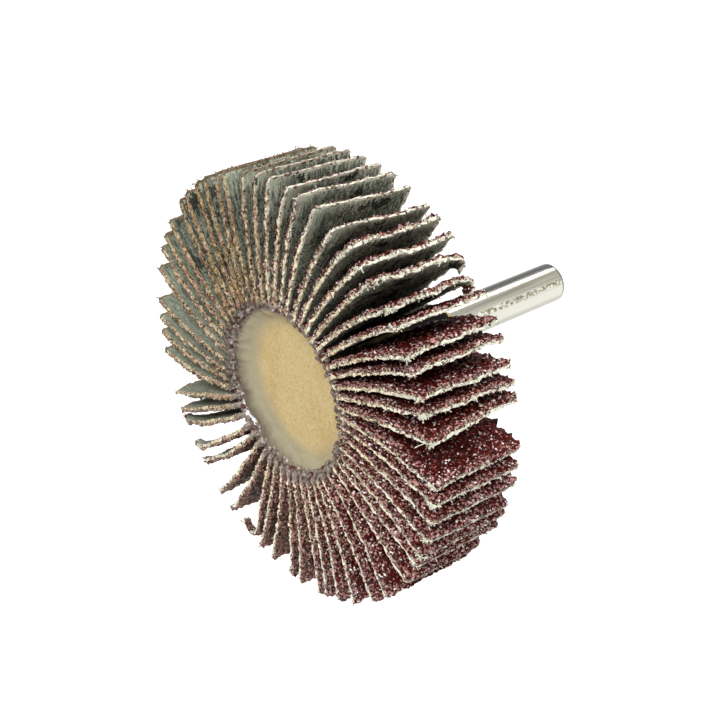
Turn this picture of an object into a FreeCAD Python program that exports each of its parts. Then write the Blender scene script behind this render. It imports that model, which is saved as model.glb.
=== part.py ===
import FreeCAD, Part
import math
import os
import Sketcher

# A mounted flap wheel: a fan of abrasive cloth flaps whose roots are cast into a resin core,
# and a steel shank whose inner end is keyed into the same resin.
# The wheel turns about Y. Its open face looks towards -Y and its shank points along +Y.
# The origin lies on the axis where the resin boss ends and the clear shank begins.

SIZES = (
    ("wheel_diameter", 60, "across the flap tips"),
    ("flap_width", 14.5, "along the axis"),
    ("flap_thickness", 0.9, "cloth and grain together"),
    ("root_radius", 11, "inner ends of the flaps"),
    ("seat_radius", 14, "where a flap leaves the resin and its angle is given"),
    ("lean_share", 0.3, "share of a flap's lean that it has at its seat"),
    ("disc_radius", 11.3, "flat recessed disc of resin in the open face, which takes in the root ends"),
    ("face_recess", 1.6, "depth of the disc below the flap edges"),
    ("lip_radius", 12.2, "crest of the resin that has crept up between the flaps"),
    ("lip_depth", 0.9, "depth of the crest below the flap edges"),
    ("core_radius", 13.6, "reach of the resin between the flaps"),
    ("web_depth", 2.6, "depth of the resin at its reach below the flap edges"),
    ("foot_depth", 0.9, "resin behind the flaps, below their rear edges"),
    ("foot_radius", 10.2, "where the shoulder of the boss begins"),
    ("shoulder_radius", 7.6, "where the shoulder meets the tapered boss"),
    ("shoulder_rise", 1.8, "where the shoulder meets the boss, above the rear flap edges"),
    ("boss_reach", 14.25, "from the rear flap edges to the end of the boss"),
    ("boss_radius", 3.5, "end of the boss"),
    ("shank_radius", 3, "steel shank"),
    ("clear_length", 23.75, "shank that stands clear of the boss"),
    ("end_chamfer", 0.8, "free end of the shank"),
    ("key_length", 25, "shank inside the resin"),
    ("key_radius", 2.75, "turned down a little there, so the resin ends against a shoulder"),
    ("groove_depth", 0.5, "ring groove that keys the shank into the resin"),
    ("groove_width", 3, "along the shank"),
    ("groove_start", 3, "from the inner end of the shank to the groove"),
)

# Angle of each flap's cloth side at its seat, in degrees from +X towards +Z.
SEAT_ANGLES = (
    9.2, 15.5, 21.5, 27.3, 33.1, 38.6, 44.4, 50.1,
    55.7, 61.9, 67.7, 73.3, 79.9, 85.4, 90.9, 96.4,
    102.4, 108.4, 114.5, 120.3, 125.8, 131.3, 137.4, 143.6,
    151.0, 158.2, 165.4, 173.0, 181.2, 187.7, 193.3, 198.9,
    205.4, 211.2, 218.0, 226.0, 232.5, 240.0, 247.4, 254.2,
    260.2, 267.0, 274.0, 280.1, 287.3, 293.3, 300.0, 306.4,
    313.3, 322.4, 331.0, 338.0, 344.0, 350.3, 357.4, 363.7,
)
# How far each flap's tip trails its seat at the middle of its width, in degrees.
LAG_ANGLES = (
    8.0, 2.1, 2.9, 4.5, 4.2, 5.6, 4.8, 5.9,
    5.3, 6.6, 7.0, 7.4, 6.7, 6.1, 7.0, 6.1,
    6.5, 7.2, 4.3, 5.6, 5.7, 6.7, 5.3, 7.8,
    4.3, 6.3, 8.8, 8.6, 6.4, 7.1, 8.5, 8.0,
    0.9, 2.5, 5.3, 6.3, 6.7, 4.6, 5.3, 2.2,
    4.0, 4.6, 3.0, 5.3, 3.5, 5.7, 7.7, 6.8,
    4.6, 5.5, 5.0, 2.8, 4.3, 6.0, 6.5, 7.5,
)

START, END, CENTRE = 1, 2, 3
ORIGIN = (-1, START)

doc = FreeCAD.newDocument("flap_wheel")
sheet = doc.addObject("Spreadsheet::Sheet", "Sizes")


def fill_sheet():
    """Write each size beside its meaning, and the two angles of each flap below them."""
    rows = list(SIZES)
    for number, (seat, lag) in enumerate(zip(SEAT_ANGLES, LAG_ANGLES), 1):
        rows.append((f"seat_{number:02d}", seat, "seat angle of the flap"))
        rows.append((f"lag_{number:02d}", lag, "lag of its tip"))
    for row, (alias, size, meaning) in enumerate(rows, 1):
        sheet.set(f"A{row}", meaning)
        sheet.set(f"B{row}", str(size))
        sheet.setAlias(f"B{row}", alias)
    doc.recompute()


def value(expression):
    """The number that an expression on the sheet gives now."""
    result = sheet.evalExpression(expression)
    return getattr(result, "Value", result)


def new_body(label):
    body = doc.addObject("PartDesign::Body", label)
    body.Label = label
    return body


def new_sketch(body, name, plane):
    """An empty sketch on one of the body's own origin planes."""
    sketch = body.newObject("Sketcher::SketchObject", name)
    faces = [face for face in body.Origin.OriginFeatures if face.Role == plane]
    sketch.AttachmentSupport = (faces[0], [""])
    sketch.MapMode = "FlatFace"
    return sketch


def bind(sketch, kind, places, expression):
    """Add a dimension and let the sheet drive it."""
    size = value(expression)
    if kind == "Angle":
        size = math.radians(size)
    index = sketch.addConstraint(Sketcher.Constraint(kind, *places, size))
    sketch.setExpression(f"Constraints[{index}]", expression)


def circle_arc(centre, radius, first, last):
    """An arc that runs anticlockwise between two of its points, and whether it starts at first."""
    turn = (first - centre).cross(last - centre).z
    begin, finish = (first, last) if turn > 0 else (last, first)
    start_angle = math.atan2(begin.y - centre.y, begin.x - centre.x)
    end_angle = math.atan2(finish.y - centre.y, finish.x - centre.x)
    if end_angle < start_angle:
        end_angle += math.tau
    circle = Part.Circle(centre, FreeCAD.Vector(0, 0, 1), radius)
    return Part.ArcOfCircle(circle, start_angle, end_angle), turn > 0


def bend_of(lag):
    """The lean of a flap at its seat, as an expression, for a tip lag that is one."""
    rise = f"Sizes.wheel_diameter / 2 * sin({lag} * 1 deg)"
    run = f"(Sizes.wheel_diameter / 2 * cos({lag} * 1 deg) - Sizes.seat_radius)"
    return f"-Sizes.lean_share * atan({rise} / {run})"


def flap_section(body, name, lag):
    """A flap seen along the axis: a straight root and a tangent arc to the tip, one thickness wide."""
    sketch = new_sketch(body, name, "XZ_Plane")
    sketch.setExpression("AttachmentOffset.Base.z", "Sizes.boss_reach")
    tip_x = f"Sizes.wheel_diameter / 2 * cos({lag} * 1 deg)"
    tip_y = f"-Sizes.wheel_diameter / 2 * sin({lag} * 1 deg)"
    lean = bend_of(lag)
    angle = math.radians(value(lean))
    along = FreeCAD.Vector(math.cos(angle), math.sin(angle), 0)
    across = FreeCAD.Vector(-along.y, along.x, 0)
    seat_radius = value("Sizes.seat_radius")
    thickness = value("Sizes.flap_thickness")
    seat = FreeCAD.Vector(seat_radius, 0, 0)
    tip = FreeCAD.Vector(value(tip_x), value(tip_y), 0)
    run_in = seat_radius * along.x
    run_in -= math.sqrt(run_in ** 2 - seat_radius ** 2 + value("Sizes.root_radius") ** 2)
    root = seat - along * run_in
    chord = tip - seat
    bend = chord.dot(chord) / (2 * chord.dot(across))
    centre = seat + across * bend
    grain_bend = bend - thickness
    tip_out = (centre - tip) / bend
    grain_tip = centre - tip_out * grain_bend
    cloth_arc, forward = circle_arc(centre, abs(bend), seat, tip)
    grain_seat = seat + across * thickness
    grain_arc, _ = circle_arc(centre, abs(grain_bend), grain_seat, grain_tip)
    near, far = (START, END) if forward else (END, START)
    cloth, cloth_bend, tip_edge, grain_curve, grain, root_edge = sketch.addGeometry([
        Part.LineSegment(root, seat),
        cloth_arc,
        Part.LineSegment(tip, grain_tip),
        grain_arc,
        Part.LineSegment(grain_seat, root + across * thickness),
        Part.LineSegment(root + across * thickness, root),
    ], False)
    for kind, places in (
        ("Tangent", (cloth, END, cloth_bend, near)),
        ("Coincident", (cloth_bend, far, tip_edge, START)),
        ("Coincident", (tip_edge, END, grain_curve, far)),
        ("Tangent", (grain_curve, near, grain, START)),
        ("Coincident", (grain, END, root_edge, START)),
        ("Coincident", (root_edge, END, cloth, START)),
        ("Coincident", (cloth_bend, CENTRE, grain_curve, CENTRE)),
        ("PointOnObject", (cloth_bend, CENTRE, tip_edge)),
        ("Parallel", (cloth, grain)),
        ("Perpendicular", (cloth, root_edge)),
    ):
        sketch.addConstraint(Sketcher.Constraint(kind, *places))
    bind(sketch, "DistanceX", (*ORIGIN, cloth, END), "Sizes.seat_radius")
    sketch.addConstraint(Sketcher.Constraint("PointOnObject", cloth, END, -1))
    bind(sketch, "Angle", (cloth,), lean)
    bind(sketch, "Distance", (*ORIGIN, cloth, START), "Sizes.root_radius")
    bind(sketch, "DistanceX", (*ORIGIN, tip_edge, START), tip_x)
    bind(sketch, "DistanceY", (*ORIGIN, tip_edge, START), tip_y)
    bind(sketch, "Distance", (tip_edge, START, tip_edge, END), "Sizes.flap_thickness")
    return sketch


def make_flap(number):
    """A flap, padded from its rear edge to the open face and turned to its seat."""
    body = new_body(f"flap_{number:02d}")
    section = flap_section(body, f"section_{number:02d}", f"Sizes.lag_{number:02d}")
    width = body.newObject("PartDesign::Pad", f"width_{number:02d}")
    width.Profile = section
    width.setExpression("Length", "Sizes.flap_width")
    turn = f"create(<<rotation>>; create(<<vector>>; 0; -1; 0); Sizes.seat_{number:02d})"
    body.setExpression("Placement", f"create(<<placement>>; create(<<vector>>; 0; 0; 0); {turn})")
    section.Visibility = False
    return body


def draw_profile(sketch, corners):
    """A closed outline of straight edges through corners whose places are expressions on the sheet."""
    points = [FreeCAD.Vector(value(x), value(y), 0) for x, y in corners]
    edges = sketch.addGeometry([
        Part.LineSegment(first, last) for first, last in zip(points, points[1:] + points[:1])
    ], False)
    for edge, following, (x, y) in zip(edges, edges[1:] + edges[:1], corners):
        sketch.addConstraint(Sketcher.Constraint("Coincident", edge, END, following, START))
        bind(sketch, "DistanceX", (*ORIGIN, edge, START), x)
        bind(sketch, "DistanceY", (*ORIGIN, edge, START), y)


def turned_body(label, corners):
    """A solid of revolution about Y."""
    body = new_body(label)
    sketch = new_sketch(body, f"{label}_profile", "XY_Plane")
    draw_profile(sketch, corners)
    turning = body.newObject("PartDesign::Revolution", f"{label}_turning")
    turning.Profile = sketch
    turning.ReferenceAxis = (sketch, ["V_Axis"])
    sketch.Visibility = False
    return body


def make_shank():
    """The steel shank: a chamfered free end, and a thinner end with a ring groove that the resin holds."""
    groove_floor = "Sizes.key_radius - Sizes.groove_depth"
    groove_near = "-Sizes.key_length + Sizes.groove_start"
    groove_far = f"{groove_near} + Sizes.groove_width"
    return turned_body("shank", [
        ("0", "-Sizes.key_length"),
        ("Sizes.key_radius", "-Sizes.key_length"),
        ("Sizes.key_radius", groove_near),
        (groove_floor, groove_near),
        (groove_floor, groove_far),
        ("Sizes.key_radius", groove_far),
        ("Sizes.key_radius", "0"),
        ("Sizes.shank_radius", "0"),
        ("Sizes.shank_radius", "Sizes.clear_length - Sizes.end_chamfer"),
        ("Sizes.shank_radius - Sizes.end_chamfer", "Sizes.clear_length"),
        ("0", "Sizes.clear_length"),
    ])


def make_resin():
    """The cast resin before the flaps and the shank are taken out of it."""
    face = "-Sizes.boss_reach - Sizes.flap_width"
    rear = "-Sizes.boss_reach"
    return turned_body("resin_casting", [
        ("0", f"{face} + Sizes.face_recess"),
        ("Sizes.disc_radius", f"{face} + Sizes.face_recess"),
        ("Sizes.lip_radius", f"{face} + Sizes.lip_depth"),
        ("Sizes.core_radius", f"{face} + Sizes.web_depth"),
        ("Sizes.core_radius", f"{rear} - Sizes.foot_depth"),
        ("Sizes.foot_radius", f"{rear} - Sizes.foot_depth"),
        ("Sizes.shoulder_radius", f"{rear} + Sizes.shoulder_rise"),
        ("Sizes.boss_radius", "0"),
        ("0", "0"),
    ])


def make_core(casting, inserts):
    """The resin is cast round the flap roots and the shank, so each seat is the insert's own shape."""
    mould = doc.addObject("Part::Compound", "mould_inserts")
    mould.Links = inserts
    core = doc.addObject("Part::Cut", "resin_core")
    core.Label = "resin_core"
    core.Base = casting
    core.Tool = mould
    return core


def check(pieces):
    """Stop before anything is written if an object failed or a piece isn't one sound solid."""
    for thing in doc.Objects:
        if "Invalid" in thing.State or "Error" in thing.State:
            raise RuntimeError(f"{thing.Label} failed: {thing.State}")
    for piece in pieces:
        shape = piece.Shape
        if shape.isNull() or not shape.isValid() or len(shape.Solids) != 1:
            raise RuntimeError(f"{piece.Label} is not one sound solid")


fill_sheet()
flaps = [make_flap(number) for number in range(1, len(SEAT_ANGLES) + 1)]
shank = make_shank()
resin_core = make_core(make_resin(), flaps + [shank])
doc.recompute()

pieces = flaps + [resin_core, shank]
check(pieces)
os.makedirs("parts", exist_ok=True)
for piece in pieces:
    piece.Shape.exportStep(os.path.join("parts", f"{piece.Label}.step"))
    print(piece.Label, "volume", round(piece.Shape.Volume, 2))
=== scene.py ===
import math

import bpy
import numpy as np
from mathutils import Matrix, Vector, noise


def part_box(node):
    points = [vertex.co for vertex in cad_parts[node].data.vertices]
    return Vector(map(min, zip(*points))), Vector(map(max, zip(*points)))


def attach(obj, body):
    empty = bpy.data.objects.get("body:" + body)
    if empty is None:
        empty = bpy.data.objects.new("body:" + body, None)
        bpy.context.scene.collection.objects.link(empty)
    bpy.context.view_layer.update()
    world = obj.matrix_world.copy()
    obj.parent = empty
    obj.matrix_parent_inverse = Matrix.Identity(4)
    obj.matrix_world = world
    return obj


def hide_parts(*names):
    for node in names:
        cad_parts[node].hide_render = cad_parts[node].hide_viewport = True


bl_info = {
    "name": "Mounted Flap Wheel",
    "version": (1, 0, 0),
    "blender": (4, 5, 0),
    "location": "View3D > Sidebar > Flap Wheel",
    "description": "Cloth flaps with grain, a resin core, a steel shank and a stage",
    "category": "Object",
}

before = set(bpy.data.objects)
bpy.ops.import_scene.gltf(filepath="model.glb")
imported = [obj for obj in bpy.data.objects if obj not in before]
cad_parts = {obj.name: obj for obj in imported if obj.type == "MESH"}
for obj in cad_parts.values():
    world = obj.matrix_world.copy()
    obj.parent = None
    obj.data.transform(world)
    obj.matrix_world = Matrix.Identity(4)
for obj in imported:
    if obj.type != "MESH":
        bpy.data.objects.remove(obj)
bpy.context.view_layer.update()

# Sizes are in metres. The wheel turns about Y, its open face looks towards -Y and its shank along +Y.
# Angles round the wheel run from +X towards +Z.
MM = 0.001
SAME_PLACE = 0.00001
SEED = 7
SEAT_RADIUS = 14 * MM
TIP_RADIUS = 30 * MM
CORE_RADIUS = 13.6 * MM
DISC_MIDDLE = (0.5 * MM, 0.0, 0.4 * MM)
SHANK_RADIUS = 3 * MM
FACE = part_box("flap_01")[0].y
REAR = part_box("flap_01")[1].y
SHANK_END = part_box("shank")[1].y
FLAPS = sorted(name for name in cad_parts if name.startswith("flap_"))

# How much further each flap's rear edge trails than its front edge, in degrees: read from the photo where
# the rear edges show, and guessed for the flaps from about 21 to 49.
TIP_TWISTS = (
    1.1, -1.3, 1.7, 1.7, 0.8, 0.2, 0.6, 0.2, 1.5, 0.4, 0.3, 2.3, 2.3, 2.3, 1.4, 2.4, 1.0, 0.7, 1.2,
    -0.4, 0.8, 1.3, 0.5, 1.6, -0.6, 0.9, 1.8, 0.4, 1.2, 0.6, 1.7, 0.8, -0.7, 1.4, -4.5, -2.5, -0.5, 1.1,
    -0.5, 1.2, 1.6, 0.5, 1.0, 1.9, 0.7, -0.6, 1.3, 0.8, 1.5, -1.8, 4.4, 1.5, 0.5, 3.2, 1.6, 1.6,
)
# How much less both edges of single flaps trail than those of their solids, in degrees.
TIP_LEANS = {"flap_35": 2.4, "flap_36": 2.6, "flap_37": 0.2, "flap_40": 2.0}
# Corners that roll towards the cloth side: how far they turn, in degrees, the length that rolls,
# in millimetres, and how much it has stretched.
FRONT_ROLLS = {
    "flap_35": (50, 1.6, 1.0),
    "flap_36": (55, 1.5, 1.0),
    "flap_37": (40, 1.4, 1.0),
    "flap_40": (160, 2.3, 2.0),
}
REAR_ROLLS = {"flap_08": (150, 2.0, 1.0), "flap_09": (100, 1.5, 1.0)}
# How far the rear edges of single flaps bow towards the cloth side at mid length, in millimetres.
REAR_SAGS = {
    "flap_07": 0.2, "flap_08": 0.5, "flap_09": 0.6, "flap_10": 0.6, "flap_11": 0.6, "flap_12": 0.6,
    "flap_13": 0.6, "flap_14": 0.6, "flap_15": 0.5, "flap_16": 0.5,
}
# Flaps whose tips have worn thin.
THIN_TIPS = [f"flap_{number:02d}" for number in range(12, 34)]
# Flaps with a tuft of threads at the front corner.
TUFTED = [f"flap_{number:02d}" for number in (*range(1, 10), *range(52, 57))]

# Sides of the wheel: the angle that a side points to, in degrees, and the values of wheel_side at which
# it begins and is complete.
# Painted light on the cloth: paler near the open face on the upper right, at the front corner and the very
# tip of the top flaps, and towards the tip on top.
UPPER_RIGHT_SIDE = (45.0, 0.5, 0.9)
CORNER_SIDE = (72.0, 0.8, 0.95)
FROST_SIDE = (75.0, 0.6, 0.8)
TOP_SIDE = (80.0, 0.55, 0.9)
LEFT_SIDE = (150.0, 0.5, 0.85)
OCHRE_SIDE = (160.0, 0.62, 0.9)
# Painted light on the lit side: lit copies of the cloth, the ochre dust and the ochre edges.
LIT_SIDE = (206.0, 0.72, 0.97)
# A painted highlight on the crest of the resin ring, low on the left.
PAINTED_HIGHLIGHT_SIDE = (222.0, 0.985, 0.993)
# Painted light from below on the grain, low on the left of the wheel.
PAINTED_UNDERLIGHT_SIDE = (236.0, 0.72, 0.97)
UNDER_SIDE = (262.0, 0.6, 0.92)
LOW_SIDE = (270.0, 0.7, 1.0)
# Painted light on the cut edges on the lower right.
PAINTED_EDGE_LIGHT_SIDE = (310.0, 0.4, 0.8)
# Painted light on the rubbed grain on the right.
RIGHT_SIDE = (338.0, 0.45, 0.85)
# Where the resin creeps furthest, where the edges are tan furthest out, and the upper side of the shank.
CREEP_ANGLE = 215.0
TAN_ANGLE = 130.0
SHANK_TOP_ANGLE = 126.8

# The share of the thickness at which the edge, the grain and the loose crystals begin.
EDGE_FROM = 0.01
GRAIN_FROM = 0.34
GRIT_FROM = 0.4
EDGE_LAYER = 0.2
LAYERS = 4
SLAB_SHARE = 0.76
# The cloth power is lower on the side whose edges are less crisp.
CLOTH_POWERS = (0.54, 0.6)
CRISP_SIDE = math.radians(-40.0)
# Loose crystals and frayed threads: least and greatest size, and how far the threads tilt, in radians.
CRYSTAL_RADII = (0.08 * MM, 0.2 * MM)
THREAD_LENGTHS = (0.16 * MM, 0.42 * MM)
THREAD_TILT = 1.3
LOOSE_ABOVE = 0.996
LOOSE_GROWTH = 3.5
JITTER = 0.1 * MM
# How far in from the outermost corner a flap's tip is looked for.
TIP_BAND = 0.6 * MM
# The circle on which the gaps between the roots are measured, and where the bowl's wall is widest.
ROOT_CIRCLE = 12.2 * MM
BOWL_ANGLE = math.radians(200.0)
# Behind the flaps, in millimetres from the axis and from the flaps' rear edges: the hollow shoulder.
SHOULDER = ((10.2, -0.9), (8.9, -0.05), (7.6, 1.8))
FOOT_DEPTH = 0.9 * MM
# The end of the boss, in millimetres from the axis and from the origin.
BOSS_RADIUS = 3.5
BOSS_LIP = ((3.3, 0.0), (2.9, -0.02), (2.0, -0.4))
# Resin-covered grains: their angle, and their distance from the axis and half their size in millimetres.
GRAIN_LIMITS = ((0, math.tau), (11.7, 12.9), (0.22, 0.46))


def from_screen(red, green, blue):
    """A linear colour from the 0 to 255 values that a screen shows."""
    def linear(level):
        share = level / 255
        return share / 12.92 if share <= 0.04045 else ((share + 0.055) / 1.055) ** 2.4
    return linear(red), linear(green), linear(blue)


GRAIN_RED = from_screen(158, 78, 68)
GRAIN_PAINTED_UNDERLIGHT = from_screen(200, 172, 150)
GRAIN_PAINTED_LIGHT = from_screen(232, 190, 178)
GRAIN_GREY = from_screen(156, 146, 134)
# Painted shade for the pockets between grains.
GRAIN_POCKET = from_screen(50, 12, 9)
GRAIN_PINK = from_screen(206, 158, 152)
# Painted glints.
GRAIN_GLINT = from_screen(252, 248, 246)
GRAIN_BLACK = from_screen(30, 8, 7)
GRAIN_TIP = from_screen(106, 90, 64)
GRAIN_ROOTS = (from_screen(60, 38, 34), from_screen(100, 86, 76))
RUBBED_LOW = from_screen(172, 128, 104)
# Painted shade for the hollows between the lumps of grain.
HOLLOW_DEEP = from_screen(84, 18, 12)
HOLLOW_WORN = from_screen(92, 32, 26)
HOLLOW_PAINTED_UNDERLIGHT = from_screen(126, 90, 76)
GLUE_DARK = from_screen(58, 32, 26)
GLUE_PALE = from_screen(200, 188, 164)
DUST_BROWN = from_screen(94, 78, 54)
DUST_OCHRE = from_screen(198, 174, 128)
DUST_PAINTED_LIGHT = from_screen(218, 202, 166)
DUST_RUST = from_screen(162, 116, 70)
DUST_SOOT = from_screen(40, 36, 28)
# Dark streaks of the cloth, strongest away from the lit side: pattern and painted shade.
CLOTH_DARK = from_screen(28, 30, 26)
CLOTH_PAINTED_SHADE = from_screen(34, 36, 31)
EDGE_SHADE = from_screen(158, 154, 130)
EDGE_PAINTED_LIGHT = from_screen(248, 244, 226)
EDGE_SOILED = from_screen(124, 110, 84)
EDGE_RED = from_screen(128, 66, 56)
EDGE_PINK = from_screen(182, 132, 120)
EDGE_RUST = from_screen(164, 116, 70)
EDGE_SOOT = from_screen(44, 36, 30)
EDGE_WHITE = from_screen(248, 242, 226)
EDGE_TIP = from_screen(112, 92, 62)
EDGE_ROOTS = (from_screen(62, 44, 38), from_screen(104, 90, 78))
ROOT_LOW = from_screen(162, 146, 134)
TAN = from_screen(246, 233, 198)
TAN_SHADE = from_screen(128, 104, 74)
OCHRE = from_screen(208, 184, 136)
OCHRE_LIT = from_screen(234, 218, 180)
OCHRE_SHADE = from_screen(92, 75, 50)
RESIN_AMBER = from_screen(196, 160, 102)
RESIN_CREAM = from_screen(216, 198, 152)
RESIN_FLECK = from_screen(160, 132, 84)
RESIN_FADED = from_screen(164, 156, 130)
RESIN_SHADED = from_screen(84, 77, 62)
RING_LOW = from_screen(150, 133, 121)
RING_DARK = from_screen(66, 52, 46)
RING_RED = from_screen(84, 36, 32)
RING_GREY = from_screen(144, 134, 124)
RING_GLINT = from_screen(236, 232, 230)
RING_PAINTED_HIGHLIGHT = from_screen(250, 251, 254)
BOSS_PAINTED_SHADE = from_screen(24, 22, 19)
COVERED_RED = from_screen(84, 34, 30)
COVERED_BROWN = from_screen(104, 88, 76)
COVERED_GREY = from_screen(136, 126, 116)
# Painted reflections on the steel shank.
STEEL_PAINTED_REFLECTION = from_screen(187, 184, 169)
STEEL_DARK = from_screen(78, 78, 75)
STEEL_LOW = from_screen(172, 170, 158)
STEEL_STREAK = from_screen(104, 101, 90)
STEEL_END = from_screen(92, 90, 80)
REFLECTED_SPECK_DARK = from_screen(140, 128, 94)
REFLECTED_SPECK_BRIGHT = from_screen(246, 242, 222)


class Wire:
    """An output of a node tree. Arithmetic on it adds the nodes that the sum needs."""

    def __init__(self, board, socket):
        self.board = board
        self.socket = socket

    def out(self, name):
        """Another output of the same node."""
        found = [socket for socket in self.socket.node.outputs if socket.enabled and socket.name == name]
        return Wire(self.board, found[0])

    def sum_up(self, operation, *terms):
        """A Vector Math node where a term is a vector, and else a Math node."""
        many = any(
            isinstance(term, (tuple, Vector)) or isinstance(term, Wire) and term.socket.type == "VECTOR"
            for term in terms
        )
        kind = "ShaderNodeVectorMath" if many else "ShaderNodeMath"
        spread = [(term,) * 3 if many and isinstance(term, (int, float)) else term for term in terms]
        return self.board.add(kind, {"operation": operation}, dict(enumerate(spread)))

    def __add__(self, other):
        return self.sum_up("ADD", self, other)

    def __radd__(self, other):
        return self.sum_up("ADD", other, self)

    def __sub__(self, other):
        return self.sum_up("SUBTRACT", self, other)

    def __rsub__(self, other):
        return self.sum_up("SUBTRACT", other, self)

    def __mul__(self, other):
        return self.sum_up("MULTIPLY", self, other)

    def __rmul__(self, other):
        return self.sum_up("MULTIPLY", other, self)

    def __truediv__(self, other):
        return self.sum_up("DIVIDE", self, other)

    def __rtruediv__(self, other):
        return self.sum_up("DIVIDE", other, self)

    def __neg__(self):
        return self.sum_up("MULTIPLY", self, -1)

    def __pow__(self, other):
        return self.sum_up("POWER", self, other)

    def __gt__(self, other):
        return self.sum_up("GREATER_THAN", self, other)

    def __lt__(self, other):
        return self.sum_up("LESS_THAN", self, other)

    def part(self, name):
        return self.board.add("ShaderNodeSeparateXYZ", {}, {0: self}).out(name)

    @property
    def x(self):
        return self.part("X")

    @property
    def y(self):
        return self.part("Y")

    @property
    def z(self):
        return self.part("Z")


class Board:
    """A node tree that is written one node at a time."""

    def __init__(self, tree):
        self.tree = tree

    def add(self, kind, settings=None, sockets=None):
        """Add a node, set its settings and then the values or links of its sockets."""
        node = self.tree.nodes.new(kind)
        for name, setting in (settings or {}).items():
            setattr(node, name, setting)
        for key, given in (sockets or {}).items():
            if isinstance(key, int):
                socket = node.inputs[key]
            else:
                socket = [one for one in node.inputs if one.enabled and one.name == key][0]
            for single in given if isinstance(given, list) else [given]:
                if isinstance(single, Wire):
                    self.tree.links.new(single.socket, socket)
                elif socket.type == "RGBA" and len(single) == 3:
                    socket.default_value = (*single, 1)
                else:
                    socket.default_value = single
        shown = [socket for socket in node.outputs if socket.enabled]
        return Wire(self, shown[0]) if shown else None

    def vector(self, x, y, z):
        return self.add("ShaderNodeCombineXYZ", {}, {"X": x, "Y": y, "Z": z})

    def math(self, operation, *terms):
        return self.add("ShaderNodeMath", {"operation": operation}, dict(enumerate(terms)))

    def smooth(self, given, low, high):
        """0 below low and 1 above high, with a soft step between; low may be the greater one."""
        return self.add(
            "ShaderNodeMapRange", {"interpolation_type": "SMOOTHSTEP"},
            {"Value": given, "From Min": low, "From Max": high, "To Min": 0.0, "To Max": 1.0},
        )

    def colour(self, factor, first, second):
        return self.add(
            "ShaderNodeMix", {"data_type": "RGBA"}, {"Factor": factor, "A": first, "B": second},
        )

    def blend(self, factor, first, second):
        return self.add(
            "ShaderNodeMix", {"data_type": "FLOAT"}, {"Factor": factor, "A": first, "B": second},
        )

    def noise(self, place, scale, detail=2.0):
        """Soft noise from 0 to 1; scale is lumps in a unit of place."""
        return self.add(
            "ShaderNodeTexNoise", {"noise_dimensions": "3D"},
            {"Vector": place, "Scale": scale, "Detail": detail},
        )

    def cells(self, place, scale):
        """Cells of random size: the distance from the middle of each, and its own colour."""
        return self.add(
            "ShaderNodeTexVoronoi", {"voronoi_dimensions": "3D"}, {"Vector": place, "Scale": scale},
        )

    def layers(self, colour, rows):
        """Lay shades over a colour. A row says what is looked at, the values of it at which the shade
        begins and is complete, the strength, and the shade."""
        for value, start, full, strength, shade in rows:
            colour = self.colour(self.smooth(value, start, full) * strength, colour, shade)
        return colour

    def random(self, low, high, seed):
        """A random value between two numbers or two vectors."""
        kind = "FLOAT_VECTOR" if isinstance(low, tuple) else "FLOAT"
        return self.add(
            "FunctionNodeRandomValue", {"data_type": kind}, {"Min": low, "Max": high, "Seed": seed},
        )

    def store(self, geometry, name, given, domain="FACE"):
        """Keep a number on each face of the geometry, or a vector on each point."""
        kind = "FLOAT" if domain == "FACE" else "FLOAT_VECTOR"
        return self.add("GeometryNodeStoreNamedAttribute", {"data_type": kind, "domain": domain}, {
            "Geometry": geometry, "Name": name, "Value": given,
        })


def new_material(name):
    """A material with an empty board, and the board."""
    material = bpy.data.materials.new(name)
    material.use_nodes = True
    material.node_tree.nodes.clear()
    return material, Board(material.node_tree)


def finish_material(board, sockets):
    shader = board.add("ShaderNodeBsdfPrincipled", {}, sockets)
    board.add("ShaderNodeOutputMaterial", {}, {"Surface": shader})


def object_place(board):
    """Object coordinates in millimetres."""
    return board.add("ShaderNodeTexCoord").out("Object") / MM


def flap_value(board, name):
    """Place on a flap along it, across it and from its cloth side to its grain side: share from 0 to 1,
    strip in millimetres."""
    return board.add("ShaderNodeAttribute", {"attribute_name": name}).out("Vector")


def bump(board, height, depth, strength=1.0):
    return board.add("ShaderNodeBump", {}, {"Strength": strength, "Distance": depth, "Height": height})


def wheel_side(board, place, towards):
    """1 on the side of the wheel that an angle points to and 0 on the other side."""
    angle = math.radians(towards)
    flat = board.add("ShaderNodeVectorMath", {"operation": "NORMALIZE"}, {0: place * (1.0, 0.0, 1.0)})
    return 0.5 + 0.5 * (flat.x * math.cos(angle) + flat.z * math.sin(angle))


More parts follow.
